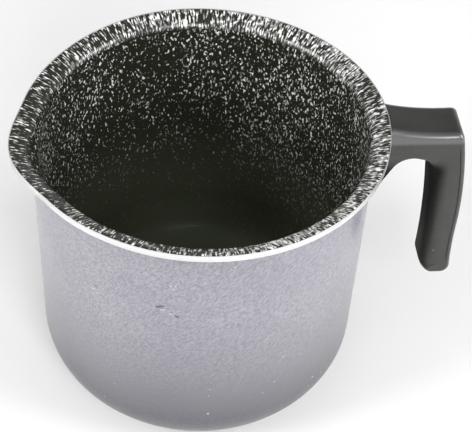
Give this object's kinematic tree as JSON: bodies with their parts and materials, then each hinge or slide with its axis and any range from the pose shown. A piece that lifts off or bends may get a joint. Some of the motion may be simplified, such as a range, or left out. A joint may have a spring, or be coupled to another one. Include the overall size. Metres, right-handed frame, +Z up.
{
  "type": "candle melting pot",
  "caption": "Round aluminium melting pot with flared rim, shallow pouring lip, speckled non-stick lining, pale enamelled outside and a moulded hook handle.",
  "frame": {"origin": "centre of the turned base, on the pot's axis, at the surface that the pot stands on", "axes": "+Z up along the pot's axis, +X towards the handle, with the pouring lip on the -X side, its tip 11 degrees towards -Y and the middle of its dip 11 degrees towards +Y"},
  "size_m": [0.1972, 0.156, 0.1379],
  "materials": {
    "bare_aluminium": "turned",
    "granite_nonstick": "black with pale granite speckle, low gloss",
    "grey_enamel": "fine-grained satin grey, faintly violet",
    "boss_aluminium": "cast",
    "black_bakelite": "moulded, matt",
    "zinc_steel": "zinc plated",
    "spring_steel": "oiled"
  },
  "bodies": {
    "root": {"pot_shell": "bare_aluminium", "nonstick_lining": "granite_nonstick", "outer_enamel": "grey_enamel", "handle_boss": "boss_aluminium", "handle_grip": "black_bakelite", "handle_screw": "zinc_steel", "flat_washer": "zinc_steel", "lock_washer": "spring_steel"}
  },
  "joints": []
}
